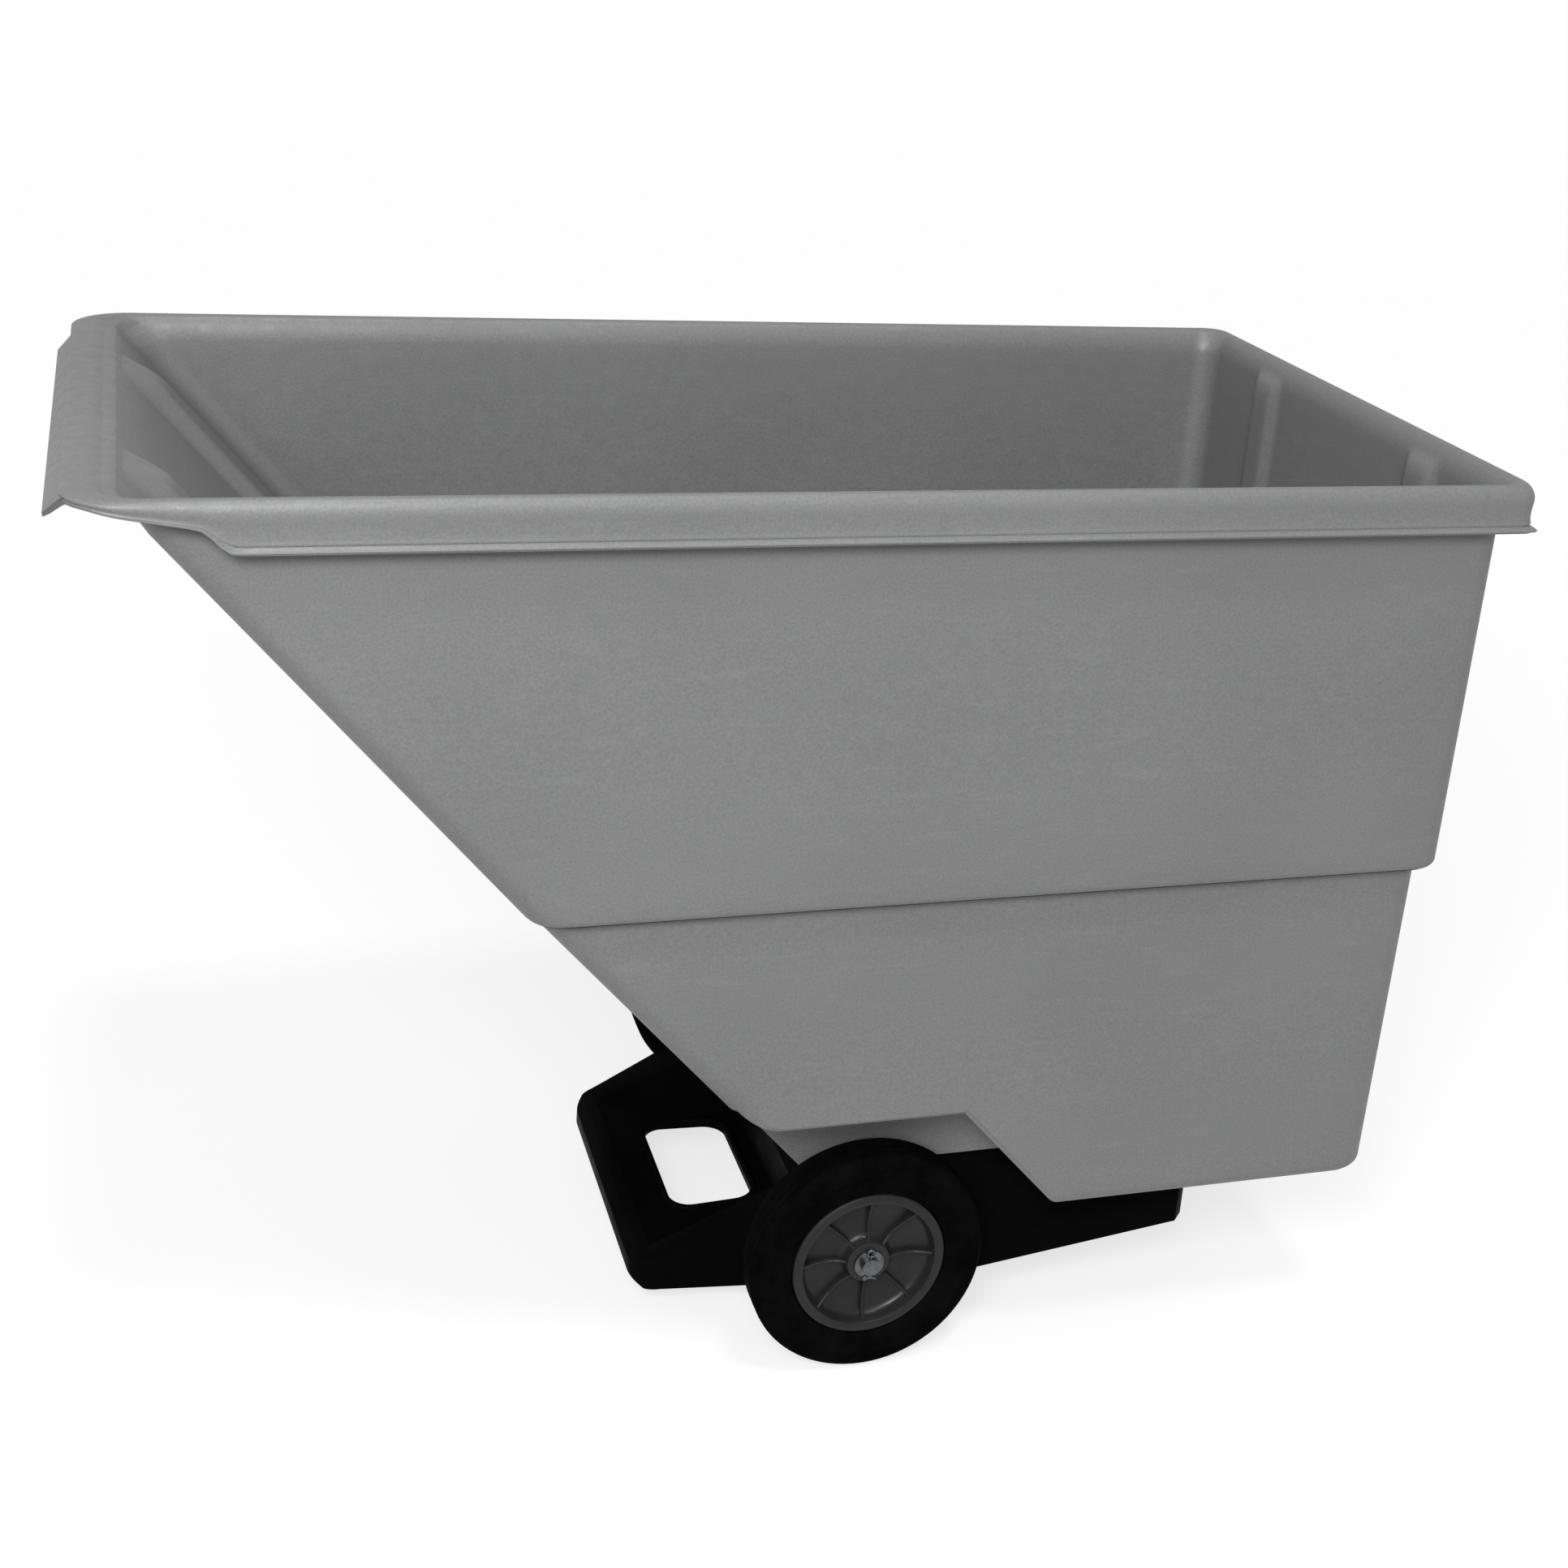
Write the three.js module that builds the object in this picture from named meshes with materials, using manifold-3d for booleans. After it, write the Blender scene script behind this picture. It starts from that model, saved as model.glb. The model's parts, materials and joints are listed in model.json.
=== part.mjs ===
// Tilt truck (hopper cart): a moulded hopper on a black moulded base, two large wheels on a
// through axle and two small swivel casters under the back.
// Frame: millimetres, +Z up, +X towards the upright back wall, -X the sloping pouring front.
// The origin is on the ground under the middle of the cart.
import * as THREE from 'three';
import { mergeVertices } from 'three/addons/utils/BufferGeometryUtils.js';
import Module from 'manifold-3d';

const wasm = await Module();
wasm.setup();

// ---- driving dimensions ----
const GAP = 0.3;                  // clearance between touching pieces
const RIM_FRONT = -782;           // rim ends, measured from the axle
const RIM_REAR = 621;
const FLANGE_FRONT = -790;        // tip of the flared lip under the front rim
const RIM_HALF = 364;             // half the overall width
const HEIGHT = 982;               // rim crest above the ground
const SKIRT = 48;                 // depth of the rim's turned-down skirt
const FRONT_SKIRT = [10, 25];     // its depth at the front corners and where it turns down
const SKIRT_TURN = [-760, -673, -637];
const ROLL = 15;                  // height of the rim's rolled top
const WALL = 5;                   // hopper wall thickness
const BODY_REAR = 599;            // outer faces of the hopper just under the rim
const BODY_HALF = 343;
const CORNER = 32;                // upright corner radius
const FRONT_ROUND = 16;           // how much rounder the rim's front corners are
const STEP_Z = 553;               // height of the ledge round the hopper
const STEP_IN = 15;               // how far the body steps in at the ledge
const FLOOR_Z = 173;              // underside of the hopper floor at the back
const RAISED_Z = 214;             // underside of the floor over the axle
const WELL_TOP = 302;             // top of the wheel wells
const WELL_HALF = 258;            // half the hopper width between the wells
const WELL_BACK = [87, 206];      // the well's sloping back edge, top and bottom
const RIB_SIDE = 182;             // ribs inside the hopper, from the centre plane
const WHEEL_R = 127;              // 10 inch wheel
const TRACK_HALF = 291.7;         // wheel centre from the centre plane
const HUB_R = 80;
const AXLE_R = 9.5;
const AXLE_HALF = 321;
const BASE_HALF = 250;            // outer face of the base's side walls
const BASE_REAR = 398;
const NOSE_FRONT = -219;
const NOSE_HALF = 178;
const NOSE_TOP = 62;              // top of the nose plate
const BREAST_X = -40;             // where the base rises from its nose to the hopper
const BASE_WALL = 7;
const WINDOW = [-154, -58, 86];   // the nose window: front, back and half width
const CASTER_X = 328;
const CASTER_Y = 95;
const CASTER_R = 38;              // 3 inch caster wheel
const CASTER_W = 24;
const TRAIL = 28;                 // caster wheel behind its kingpin
const PAD_Z = 102;                // underside of the caster pads
const BOLT_SPOTS = [[40, 190], [270, 190], [372, 190]];

const AXLE_X = -(FLANGE_FRONT + RIM_REAR) / 2;

// ---- materials ----
const paint = (name, color, roughness, metalness = 0) =>
  new THREE.MeshStandardMaterial({ name, color, roughness, metalness });
const LOOKS = {
  hopper: ['grey_plastic', 0x6f7071, 0.62],
  base: ['black_plastic', 0x0e0e0f, 0.35],
  rubber: ['rubber', 0x141414, 0.8],
  hub: ['hub_grey', 0x4a4b4c, 0.45],
  zinc: ['zinc', 0xb4b7b8, 0.35, 0.9],
  bush: ['nylon', 0xd8d4c4, 0.5],
};

const cart = new THREE.Group();
const truck = new THREE.Group();
truck.position.x = AXLE_X;
cart.add(truck);

function place(name, solid, look, parent = truck) {
  const mesh = new THREE.Mesh(toGeometry(solid), paint(...LOOKS[look]));
  mesh.name = name;
  parent.add(mesh);
  return mesh;
}

// ---- solids ----
function toSolid(geometry) {
  const bare = geometry.clone();
  bare.deleteAttribute('normal');
  bare.deleteAttribute('uv');
  const merged = mergeVertices(bare, 1e-4);
  let triVerts = new Uint32Array(merged.index.array);
  if (signedVolume(merged) < 0) triVerts = triVerts.reverse();
  const vertProperties = new Float32Array(merged.attributes.position.array);
  return new wasm.Manifold(new wasm.Mesh({ numProp: 3, vertProperties, triVerts }));
}

function signedVolume(geometry) {
  const position = geometry.attributes.position;
  const index = geometry.index;
  const [a, b, c] = [new THREE.Vector3(), new THREE.Vector3(), new THREE.Vector3()];
  let sum = 0;
  for (let i = 0; i < index.count; i += 3) {
    a.fromBufferAttribute(position, index.getX(i));
    b.fromBufferAttribute(position, index.getX(i + 1));
    c.fromBufferAttribute(position, index.getX(i + 2));
    sum += a.dot(b.cross(c));
  }
  return sum;
}

function toGeometry(solid) {
  const mesh = solid.getMesh();
  const geometry = new THREE.BufferGeometry();
  const position = new Float32Array(mesh.numVert * 3);
  for (let i = 0; i < mesh.numVert; i++) {
    for (let k = 0; k < 3; k++) position[3 * i + k] = mesh.vertProperties[mesh.numProp * i + k];
  }
  geometry.setAttribute('position', new THREE.BufferAttribute(position, 3));
  geometry.setIndex(new THREE.BufferAttribute(new Uint32Array(mesh.triVerts), 1));
  geometry.computeVertexNormals();
  return geometry;
}

const join = (solids) => solids.reduce((whole, piece) => whole.add(piece));
const cut = (solid, tools) => tools.reduce((whole, tool) => whole.subtract(tool), solid);

function box(x0, x1, y0, y1, z0, z1) {
  const geometry = new THREE.BoxGeometry(x1 - x0, y1 - y0, z1 - z0);
  geometry.translate((x0 + x1) / 2, (y0 + y1) / 2, (z0 + z1) / 2);
  return toSolid(geometry);
}

// a cylinder along y or z, centred on (x, y, z)
function rod(axis, radius, length, x, y, z, sides = 24) {
  const geometry = new THREE.CylinderGeometry(radius, radius, length, sides);
  if (axis === 'z') geometry.rotateX(Math.PI / 2);
  geometry.translate(x, y, z);
  return toSolid(geometry);
}

function outline(points) {
  const shape = new THREE.Shape();
  points.forEach(([a, b], i) => (i ? shape.lineTo(a, b) : shape.moveTo(a, b)));
  shape.closePath();
  return shape;
}

// an outline in the x-z plane, drawn out from y0 to y1
function slabY(points, y0, y1) {
  const geometry = new THREE.ExtrudeGeometry(outline(points), { depth: y1 - y0, bevelEnabled: false });
  geometry.rotateX(Math.PI / 2);
  geometry.translate(0, y1, 0);
  return toSolid(geometry);
}

// an outline in the x-y plane, drawn up from z0 to z1
function slabZ(points, z0, z1) {
  const geometry = new THREE.ExtrudeGeometry(outline(points), { depth: z1 - z0, bevelEnabled: false });
  geometry.translate(0, 0, z0);
  return toSolid(geometry);
}

function arc(cx, cy, radius, from, to, steps) {
  const points = [];
  for (let i = 0; i <= steps; i++) {
    const angle = THREE.MathUtils.degToRad(from + ((to - from) * i) / steps);
    points.push([cx + radius * Math.cos(angle), cy + radius * Math.sin(angle)]);
  }
  return points;
}

// a rectangle with round corners, anticlockwise seen from above
function roundRect(x0, x1, half, radius, steps = 6, front = radius) {
  return [
    ...arc(x1 - radius, half - radius, radius, 0, 90, steps),
    ...arc(x0 + front, half - front, front, 90, 180, steps),
    ...arc(x0 + front, front - half, front, 180, 270, steps),
    ...arc(x1 - radius, radius - half, radius, 270, 360, steps),
  ];
}

const level = (points, z) => points.map(([x, y]) => [x, y, typeof z === 'function' ? z(x, y) : z]);

// skin over a stack of outlines that all have the same number of points
function stack(rings) {
  const n = rings[0].length;
  const position = rings.flat(2);
  const index = [];
  for (let i = 0; i + 1 < rings.length; i++) {
    for (let j = 0; j < n; j++) {
      const [a, b] = [i * n + j, i * n + ((j + 1) % n)];
      index.push(a, b, b + n, a, b + n, a + n);
    }
  }
  [0, rings.length - 1].forEach((i, end) => {
    const middle = position.length / 3;
    const sum = rings[i].reduce((s, p) => [s[0] + p[0], s[1] + p[1], s[2] + p[2]], [0, 0, 0]);
    position.push(...sum.map((v) => v / n));
    for (let j = 0; j < n; j++) {
      const pair = [i * n + j, i * n + ((j + 1) % n)];
      index.push(middle, ...(end ? pair : pair.reverse()));
    }
  });
  return indexed(position, index);
}

// a closed ring: outlines joined in a loop, the last to the first
function hoop(rings) {
  const n = rings[0].length;
  const index = [];
  for (let i = 0; i < rings.length; i++) {
    const next = ((i + 1) % rings.length) * n;
    for (let j = 0; j < n; j++) {
      const k = (j + 1) % n;
      index.push(i * n + j, i * n + k, next + k, i * n + j, next + k, next + j);
    }
  }
  return indexed(rings.flat(2), index);
}

function indexed(position, index) {
  const geometry = new THREE.BufferGeometry();
  geometry.setAttribute('position', new THREE.Float32BufferAttribute(position, 3));
  geometry.setIndex(index);
  return toSolid(geometry);
}

// a turned piece about the y axis from [radius, y] points, centred on (x, y, z)
function turned(points, x, y, z, sides) {
  const profile = points.map(([r, h]) => new THREE.Vector2(r, h));
  profile.push(profile[0].clone());
  const geometry = new THREE.LatheGeometry(profile, sides);
  geometry.translate(x, y, z);
  return toSolid(geometry);
}

function hexagon(radius, z0, z1, x, y) {
  return slabZ(arc(x, y, radius, 0, 300, 5), z0, z1);
}

// ---- hopper ----
const upperSlope = (z) => -713 - 0.864 * (z - 948);
const lowerSlope = (z) => -168 - 0.9 * (z - 330);
const SLOPE_STRETCH = 1.36;       // how far along x the slope moves for each millimetre of thickness
const slope = (z) => (z > STEP_Z ? upperSlope(z) : lowerSlope(z));
const drawIn = (z) => (z > STEP_Z ? (925 - z) * 0.008 : STEP_IN + 3 + (STEP_Z - z) * 0.012);

// outline of the hopper at height z, moved in by the wall (inset) and rounded at the foot
function hopperRing(z, inset, foot = 0) {
  const d = drawIn(z) + inset + foot;
  const front = slope(z) + inset * SLOPE_STRETCH;
  return level(roundRect(front + foot, BODY_REAR - d - foot * 0.6, BODY_HALF - d, CORNER - inset - foot * 0.4), z);
}

// rim outline: t runs from 0 at the body's face to 1 at the lip, and is below 0 inside the wall
function rimRing(t, z) {
  const crown = upperSlope(968);
  const front = t < 0 ? upperSlope(z) - t * SLOPE_STRETCH * WALL * 5 : crown + (RIM_FRONT - crown) * t;
  const rear = BODY_REAR + (RIM_REAR - BODY_REAR) * t;
  const half = BODY_HALF + (RIM_HALF - BODY_HALF) * t;
  const radius = CORNER + 6 * t;
  return level(roundRect(front, rear, half, radius, 6, radius + FRONT_ROUND * Math.max(t, 0)), z);
}

function hopperBody(inset, top) {
  const bottom = FLOOR_Z + inset;
  const radius = 18;
  const foot = [0, 30, 60].map((angle) => {
    const a = THREE.MathUtils.degToRad(angle);
    return hopperRing(bottom + radius * (1 - Math.cos(a)), inset, radius * (1 - Math.sin(a)));
  });
  const ledge = STEP_Z + inset * 0.9;
  return [
    ...foot,
    hopperRing(bottom + radius, inset),
    hopperRing(STEP_Z - 1, inset),
    shiftRing(hopperRing(STEP_Z + 0.01, inset, 3), ledge),
    shiftRing(hopperRing(STEP_Z + 3, inset, 0.5), ledge + 3),
    shiftRing(hopperRing(STEP_Z + 8, inset), ledge + 8),
    hopperRing(top, inset),
  ];
}

const shiftRing = (ring, z) => ring.map(([x, y]) => [x, y, z]);

// what is taken out of the foot for the wheels and the axle, grown by d inside the hopper
function wellCuts(d) {
  const [top, foot] = WELL_BACK;
  const knee = arc(-103, WELL_TOP + 70, 70, 222, 268, 4).map(([x, z]) => [x + d * 0.7, z + d]);
  const side = [[-330, 60], [-330, 250], ...knee, [top + d, WELL_TOP + d], [foot + d + 1, FLOOR_Z + d]];
  side.push([foot + d + 1, 60]);
  const back = top + (WELL_TOP - RAISED_Z) * (foot - top) / (WELL_TOP - FLOOR_Z);
  const middle = [[-330, 60], [-330, RAISED_Z + d], [back + d, RAISED_Z + d], [foot + d + 1, FLOOR_Z + d]];
  middle.push([foot + d + 1, 60]);
  return [
    slabY(side, WELL_HALF - d, 420),
    slabY(side, -420, d - WELL_HALF),
    slabY(middle, -420, 420),
  ];
}

function skirtDepth(x) {
  const [corner, turn, end] = SKIRT_TURN;
  const shallow = THREE.MathUtils.mapLinear(Math.max(x, corner), corner, turn, ...FRONT_SKIRT);
  return x < turn ? shallow : THREE.MathUtils.lerp(FRONT_SKIRT[1], SKIRT, THREE.MathUtils.smoothstep(x, turn, end));
}

// rim outline a given drop below the crest; the drop shrinks where the skirt is shallow
function skirtRing(t, drop) {
  return addTurn(rimRing(t, 0)).map(([x, y]) => {
    const depth = skirtDepth(x);
    const roll = Math.min(1, depth / 30) * ROLL;
    const fall = drop <= ROLL ? (drop / ROLL) * roll : roll + ((drop - ROLL) / (SKIRT - ROLL)) * (depth - roll);
    return [x, y, HEIGHT - fall];
  });
}

// extra points along the long sides, where the skirt changes depth
function addTurn(ring) {
  const out = [];
  ring.forEach((p, i) => {
    const q = ring[(i + 1) % ring.length];
    out.push(p);
    if (Math.abs(p[0] - q[0]) < 500) return;
    const stops = [-700, -673, -664, -655, -646, -637, -400, -100, 200].map((x) => [x, p[1], p[2]]);
    out.push(...(q[0] > p[0] ? stops : stops.reverse()));
  });
  return out;
}

function rimSolid() {
  const profile = [
    [1, SKIRT], [0.88, 43], [0.84, 34], [0.88, 20], [0.9, ROLL], [0.86, 9], [0.75, 4], [0.58, 1], [0.4, 0],
  ];
  return stack(profile.map(([t, drop]) => skirtRing(t, drop)));
}

function rimChannel() {
  const inner = [880, 930, 956].map((z) => {
    const ring = roundRect(upperSlope(z), BODY_REAR - drawIn(z), BODY_HALF - drawIn(z), CORNER);
    return addTurn(level(ring, z));
  });
  const outer = [[0.2, 965], [0.46, 970], [0.62, 966], [0.66, 956], [0.64, 944], [0.7, 880]];
  return hoop([...inner, ...outer.map(([t, z]) => addTurn(rimRing(t, z)))]);
}

function cavity() {
  const rings = hopperBody(WALL, 940);
  const flare = [[-0.2, 953], [-0.08, 965], [0.08, 974], [0.3, 980.5], [0.5, 983]];
  flare.forEach(([t, z]) => rings.push(rimRing(t, z)));
  rings.push(rimRing(0.6, 995));
  return cut(stack(rings), wellCuts(WALL));
}

function hopperRibs() {
  const ribs = [];
  const floorLine = WALL * SLOPE_STRETCH;
  for (const side of [-1, 1]) {
    const y = side * RIB_SIDE;
    const bump = (half, rise) => [[-half, -3], [-half * 0.62, rise * 0.85], [0, rise], [half * 0.62, rise * 0.85], [half, -3]];
    const along = (z, x, half, rise) => bump(half, rise).map(([s, h]) => [x + h * SLOPE_STRETCH, y + s, z]);
    ribs.push(stack([
      along(330, lowerSlope(330) + floorLine, 46, 9).reverse(),
      along(548, lowerSlope(548) + floorLine, 46, 9).reverse(),
      along(562, upperSlope(562) + floorLine, 46, 9).reverse(),
      along(950, upperSlope(950) + floorLine, 46, 9).reverse(),
    ]));
    const up = (z, x, rise) => bump(29, rise).map(([s, h]) => [x - h, y + s, z]);
    const wall = (z) => BODY_REAR - drawIn(z) - WALL;
    ribs.push(stack([
      up(FLOOR_Z + 24, wall(FLOOR_Z + 24), 6),
      up(545, wall(545), 10),
      up(566, wall(566), 10),
      up(950, wall(950), 10),
    ]));
  }
  return ribs;
}

function frontFlange() {
  const lip = [[-772, 976], [FLANGE_FRONT, 956], [FLANGE_FRONT + 1, 951], [-774, 966], [-764, 972]];
  return slabY(lip, -300, 300);
}

function hopper() {
  const shell = join([stack(hopperBody(0, 976)), rimSolid()]);
  const outside = cut(shell, [rimChannel(), ...wellCuts(0)]);
  const holes = boltSpots().map(([x, y, z]) => rod('z', 5.4, 60, x, y, z, 12));
  return cut(join([cut(outside, [cavity()]), ...hopperRibs(), frontFlange()]), holes);
}

// ---- base ----
const baseFoot = (x) => 90 - (BASE_REAR - x) * 0.1256;

function basePlan(d) {
  const half = [
    ...arc(NOSE_FRONT + 30, NOSE_HALF - 30, 30 - d, 180, 90, 5),
    [-98, 192 - d],
    [-40, 206 - d],
    [30 - d * 0.4, BASE_HALF - d],
    [BASE_REAR - 12, BASE_HALF - d],
    [BASE_REAR - d, BASE_HALF - Math.max(12, d)],
  ];
  return [...half, ...half.map(([x, y]) => [x, -y]).reverse()];
}

function baseSide(d) {
  const [top, foot] = WELL_BACK;
  const back = top + (WELL_TOP - RAISED_Z) * (foot - top) / (WELL_TOP - FLOOR_Z);
  const low = d ? -40 : 0;
  return [
    [NOSE_FRONT + d, (d ? 0 : 34)],
    [NOSE_FRONT + 14 + d, low + 25],
    [-98, low + baseFoot(-98)],
    [BASE_REAR - d, low + baseFoot(BASE_REAR)],
    [BASE_REAR - d, FLOOR_Z - GAP - d],
    [foot - d * 0.4, FLOOR_Z - GAP - d],
    [back - d * 0.4, RAISED_Z - GAP - d],
    [8 + d, RAISED_Z - GAP - d],
    [BREAST_X + d, 131 - d],
    [-196 + d * 0.5, NOSE_TOP + 1 - d],
    [NOSE_FRONT + 10, NOSE_TOP - 2 - d],
    [NOSE_FRONT + d, Math.max(NOSE_TOP - 12 - d, 36)],
  ];
}

// the sunk deck between the nose rails
function noseDish(d) {
  const floor = NOSE_TOP - d;
  const side = [[-198 - d, 240], [-196 - d, floor], [BREAST_X + d, floor], [BREAST_X + d, 240]];
  return slabY(side, -150 - d, 150 + d);
}

// the nose window, a little narrower at the back
function noseWindow(grow, z0, z1) {
  const [front, back, half] = WINDOW;
  const edge = roundRect(front - grow, back + grow, half + grow, 24 + grow, 5);
  return slabZ(edge.map(([x, y]) => [x, y * (1 - 0.0007 * (x - front))]), z0, z1);
}

function base() {
  const outside = slabZ(basePlan(0), 0, 260).intersect(slabY(baseSide(0), -260, 260));
  const inside = slabZ(basePlan(BASE_WALL), -60, 260).intersect(slabY(baseSide(BASE_WALL), -260, 260));
  const hollow = inside.subtract(noseDish(BASE_WALL));
  const shell = cut(outside, [noseDish(0), hollow]);
  const webSide = [
    [BREAST_X + 3, 40], [BASE_REAR - 3, baseFoot(BASE_REAR) + 6], [BASE_REAR - 3, FLOOR_Z - 4],
    [200, FLOOR_Z - 4], [166, RAISED_Z - 4], [14, RAISED_Z - 4], [BREAST_X + 3, 122],
  ];
  const webs = [-1, 1].flatMap((side) => [
    slabY(webSide, side * 150 - 3, side * 150 + 3),
    rod('y', 24, 60, 0, side * 226, WHEEL_R, 24),
  ]);
  const axleHousing = [rod('y', 19, 480, 0, 0, WHEEL_R, 24), box(-4, 4, -246, 246, WHEEL_R, 210)];
  const pad = box(270, BASE_REAR - 3, -150, 150, PAD_Z, PAD_Z + 12);
  const whole = join([shell, noseWindow(8, NOSE_TOP - 3, NOSE_TOP + 4), ...webs, ...axleHousing, pad]);
  const bores = [rod('y', AXLE_R + 0.4, 600, 0, 0, WHEEL_R, 24), noseWindow(0, 0, 120)];
  const holes = boltSpots().map(([x, y, z]) => rod('z', 5.4, 60, x, y, z, 12));
  const pilots = casterSpots().flatMap(([x, y]) => plateBolts(x, y).map(([bx, by]) =>
    rod('z', 4.4, 30, bx, by, PAD_Z + 2, 12)));
  return cut(whole, [...bores, ...holes, ...pilots]);
}

// ---- fixings ----
function boltSpots() {
  return BOLT_SPOTS.flatMap(([x, y]) => {
    const z = x < WELL_BACK[0] ? RAISED_Z : FLOOR_Z;
    return [[x, y, z], [x, -y, z]];
  });
}

function hopperBolt([x, y, z]) {
  const head = turned([[0, WALL + GAP], [15, WALL + GAP], [13, WALL + 4], [0, WALL + 6.5]], 0, 0, 0, 16);
  const dome = head.rotate([90, 0, 0]).translate([x, y, z]);
  return dome.add(rod('z', 5, 34, x, y, z + WALL + 1 - 17, 12));
}

function hopperNut([x, y, z]) {
  const top = z - GAP - BASE_WALL - GAP;
  return join([hexagon(9, top - 10, top, x, y), rod('z', 11, 2, x, y, top - 1, 16)])
    .subtract(rod('z', 5.3, 40, x, y, top, 12));
}

// ---- axle and wheels ----
const tyreProfile = [
  [HUB_R + 3.3, -20], [92, -24], [108, -25.5], [121, -24.5], [125.5, -21], [WHEEL_R, -14],
  [WHEEL_R, 14], [125.5, 21], [121, 24.5], [108, 25.5], [92, 24], [HUB_R + 3.3, 20],
];

const hubProfile = [
  [13.3, -32], [21, -32], [22, -10], [40, -7], [64, -6], [70, -20], [HUB_R + 3, -20],
  [HUB_R + 3, 20], [HUB_R, 22], [74, 22], [71, 18], [69, 4], [42, 2], [23, 6], [19, 19], [13.3, 20],
];

function hub(y, side) {
  const disc = turned(hubProfile.map(([r, h]) => [r, h * side]), 0, y, WHEEL_R, 32);
  const ribs = [];
  for (let i = 0; i < 8; i++) {
    const rib = slabZ([[20, 0], [71, 0], [71, 15], [46, 9], [20, 15]], -1.7, 1.7);
    const facing = side > 0 ? rib : rib.scale([1, -1, 1]);
    ribs.push(facing.rotate([0, 22.5 + 45 * i, 0]).translate([0, y, WHEEL_R]));
  }
  return join([disc, ...ribs]).subtract(rod('y', 13.3, 90, 0, y, WHEEL_R, 32));
}

const washer = (y) => rod('y', 16, 2, 0, y, WHEEL_R, 24).subtract(rod('y', AXLE_R + 0.3, 8, 0, y, WHEEL_R, 20));

function axle() {
  const holes = [-1, 1].map((side) => rod('z', 1.9, 40, 0, side * (AXLE_HALF - 4), WHEEL_R, 12));
  return cut(rod('y', AXLE_R, 2 * AXLE_HALF, 0, 0, WHEEL_R, 24), holes);
}

// a split pin through the end of the axle, with its eye on top and its legs bent apart below
function splitPin(side) {
  const y = side * (AXLE_HALF - 4);
  const eye = new THREE.TorusGeometry(4, 1.4, 6, 12);
  eye.rotateX(Math.PI / 2);
  eye.translate(0, y, WHEEL_R + 14.5);
  const leg = (way) => slabY([[0, 0], [way * 7, -3], [way * 7, -1], [0, 2.5]], -1.2, 1.2)
    .translate([0, y, WHEEL_R - 14]);
  return join([rod('z', 1.5, 26, 0, y, WHEEL_R - 2, 8), toSolid(eye), leg(1), leg(-1)]);
}

function mainWheel(side, name) {
  const y = side * TRACK_HALF;
  place(`${name}_hub`, hub(y, side), 'hub');
  place(`${name}_tyre`, turned(tyreProfile, 0, y, WHEEL_R, 32), 'rubber');
  const sleeve = rod('y', 13, 51, 0, y - side * 6, WHEEL_R, 24)
    .subtract(rod('y', AXLE_R + 0.3, 90, 0, y, WHEEL_R, 20));
  place(`${name}_bush`, sleeve, 'bush');
  place(`${name}_inner_washer`, washer(side * (TRACK_HALF - 33.4)), 'zinc');
  place(`${name}_outer_washer`, washer(side * (TRACK_HALF + 21.4)), 'zinc');
  place(`${name}_split_pin`, splitPin(side), 'zinc');
}

// ---- casters ----
function casterSpots() {
  return [[CASTER_X, -CASTER_Y], [CASTER_X, CASTER_Y]];
}

function plateBolts(x, y) {
  return [[-32, -22], [32, -22], [-32, 22], [32, 22]].map(([a, b]) => [x + a, y + b]);
}

function casterPlate(x, y) {
  const top = PAD_Z - GAP;
  const plate = slabZ(roundRect(-42, 42, 32, 6, 3).map(([a, b]) => [a + x, b + y]), top - 3, top);
  const race = rod('z', 21, 5, x, y, top - 5, 20);
  const holes = plateBolts(x, y).map(([a, b]) => rod('z', 4.3, 20, a, b, top, 12));
  return cut(join([plate, race]), [...holes, rod('z', 5.3, 30, x, y, top, 20)]);
}

function casterFork(x, y) {
  const top = PAD_Z - 8.4;
  const crown = join([rod('z', 25, 4, x, y, top - 2, 20), box(x - 15, x + 25, y - 18, y + 18, top - 4, top)]);
  const leg = [[-15, top], [25, top], [TRAIL + 12, 48], ...arc(TRAIL, CASTER_R, 12, 20, -200, 8)];
  const legs = [-1, 1].map((side) => slabY(leg.map(([a, z]) => [x + a, z]), y + side * 16.5 - 1.5, y + side * 16.5 + 1.5));
  const bores = [rod('z', 5.3, 30, x, y, top, 20), rod('y', 4.3, 60, x + TRAIL, y, CASTER_R, 16)];
  return cut(join([crown, ...legs]), bores);
}

function casterKingpin(x, y) {
  const head = PAD_Z - 8.4 - 4 - GAP;
  const shank = PAD_Z - 2 - head;
  return join([rod('z', 9, 3.4, x, y, head - 1.7, 20), rod('z', 5, shank + 1, x, y, head + shank / 2 - 0.5, 16)]);
}

function casterWheel(x, y) {
  const half = CASTER_W / 2;
  const side = [[4.4, half + 2], [10, half + 2], [11, half - 3], [25, half - 3], [27, half], [35, half]];
  side.push([CASTER_R, half - 4]);
  const profile = [...side, ...side.map(([r, h]) => [r, -h]).reverse()];
  return turned(profile, x + TRAIL, y, CASTER_R, 20);
}

function casterAxle(x, y) {
  const head = turned([[0, -22.5], [6.5, -22.5], [6.5, -18.3], [0, -18.3]], x + TRAIL, y, CASTER_R, 6);
  return head.add(rod('y', 4, 46, x + TRAIL, y + 2, CASTER_R, 16));
}

function casterNut(x, y) {
  const blank = turned([[0, 18.3], [7, 18.3], [7, 23.3], [0, 23.3]], x + TRAIL, y, CASTER_R, 6);
  return blank.subtract(rod('y', 4.3, 20, x + TRAIL, y + 20, CASTER_R, 12));
}

function plateBolt([x, y]) {
  const under = PAD_Z - GAP - 3 - GAP;
  return join([hexagon(7, under - 5, under, x, y), rod('z', 4, 14, x, y, under + 5, 16)]);
}

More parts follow.
